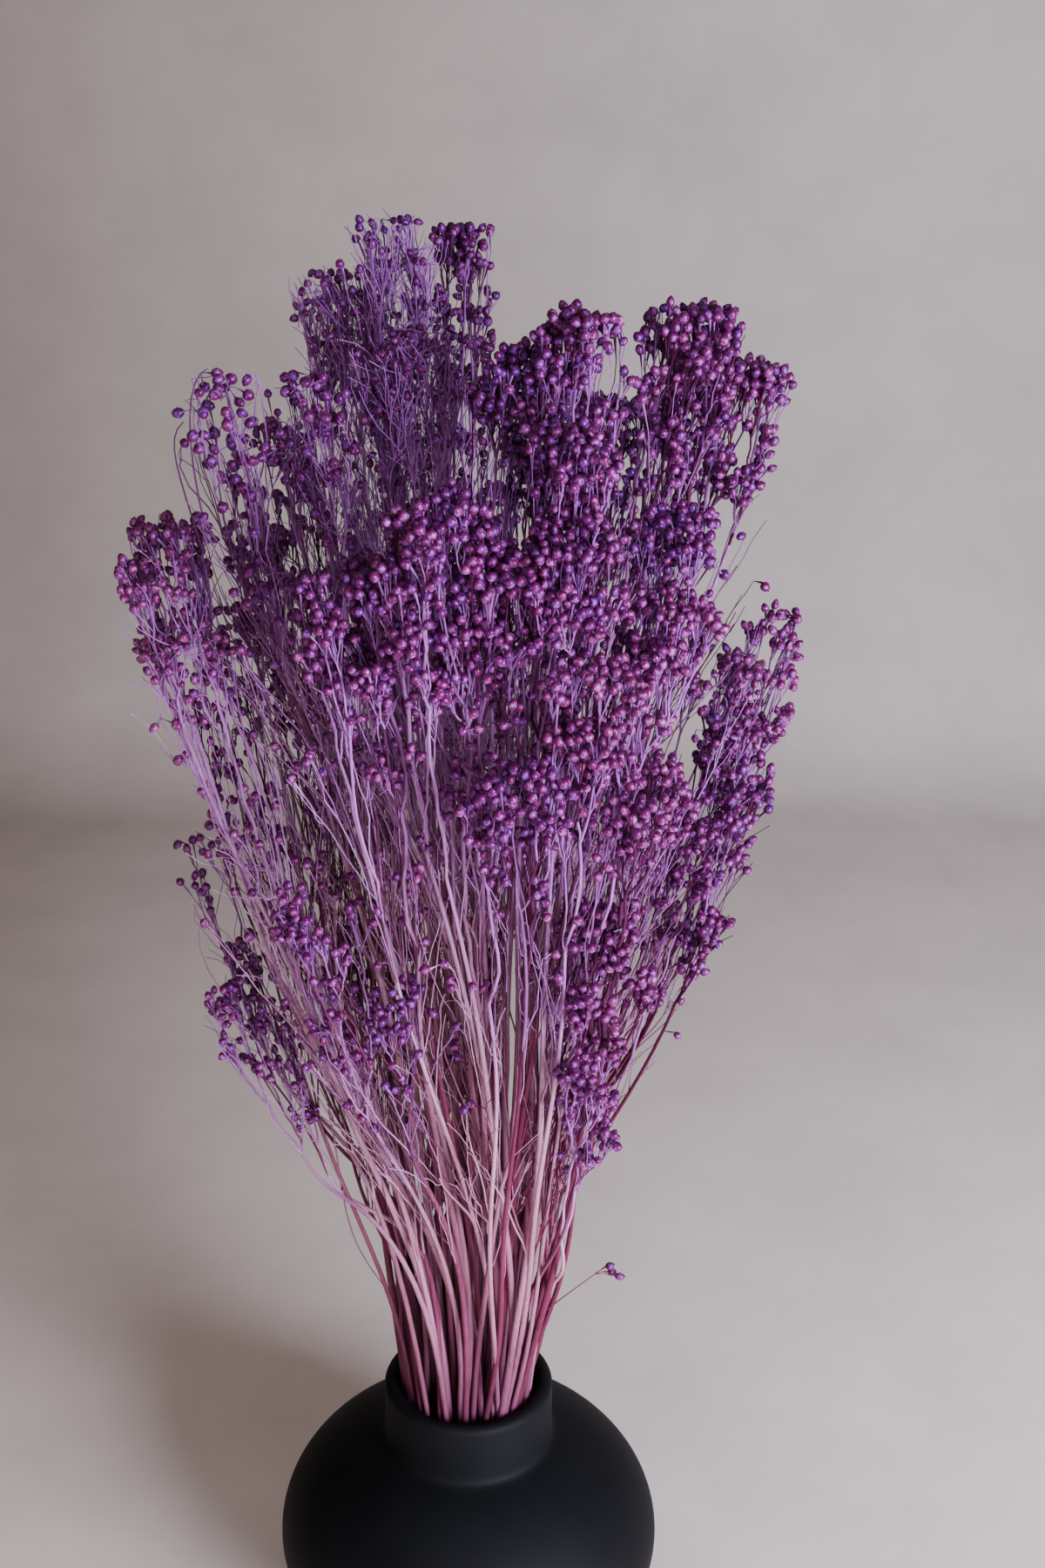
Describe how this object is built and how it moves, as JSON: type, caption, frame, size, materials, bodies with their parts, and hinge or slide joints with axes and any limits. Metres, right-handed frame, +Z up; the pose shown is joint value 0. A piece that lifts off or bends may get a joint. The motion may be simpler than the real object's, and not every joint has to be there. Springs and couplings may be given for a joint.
{
  "type": "dried broom bloom",
  "caption": "Bunch of dyed dried broom bloom: fine, much-branched sprays tipped with bead-like seed pods, standing in a round matt vase with a short neck.",
  "frame": {"origin": "centre of the vase's foot, on the surface that it stands on", "axes": "+Z up along the vase's axis; +Y towards the back of the bunch, away from the viewer of the picture"},
  "size_m": [0.1671, 0.1724, 0.4071],
  "materials": {
    "matte_ceramic": "matt",
    "dyed_stems": "dull",
    "dyed_pods": "satin"
  },
  "bodies": {
    "root": {"vase": "matte_ceramic", "spray_01": "dyed_pods", "spray_02": "dyed_pods", "spray_03": "dyed_pods", "spray_04": "dyed_pods", "spray_05": "dyed_pods", "spray_06": "dyed_pods", "spray_07": "dyed_pods", "spray_08": "dyed_pods", "spray_09": "dyed_pods", "spray_10": "dyed_pods", "spray_11": "dyed_pods", "spray_12": "dyed_pods", "spray_13": "dyed_pods", "spray_14": "dyed_pods", "spray_15": "dyed_pods", "spray_16": "dyed_pods", "spray_17": "dyed_pods", "spray_18": "dyed_pods", "spray_19": "dyed_pods", "spray_20": "dyed_pods", "spray_21": "dyed_pods", "spray_22": "dyed_pods", "spray_23": "dyed_pods", "spray_24": "dyed_pods", "spray_25": "dyed_pods", "spray_26": "dyed_pods", "spray_27": "dyed_pods", "spray_28": "dyed_pods", "spray_29": "dyed_pods", "spray_30": "dyed_pods", "spray_31": "dyed_pods", "spray_32": "dyed_pods", "spray_33": "dyed_pods", "spray_34": "dyed_pods", "spray_35": "dyed_pods", "spray_36": "dyed_pods", "spray_37": "dyed_pods", "spray_38": "dyed_pods", "spray_39": "dyed_pods", "spray_40": "dyed_pods", "spray_41": "dyed_pods", "spray_42": "dyed_pods", "spray_43": "dyed_pods"}
  },
  "joints": []
}
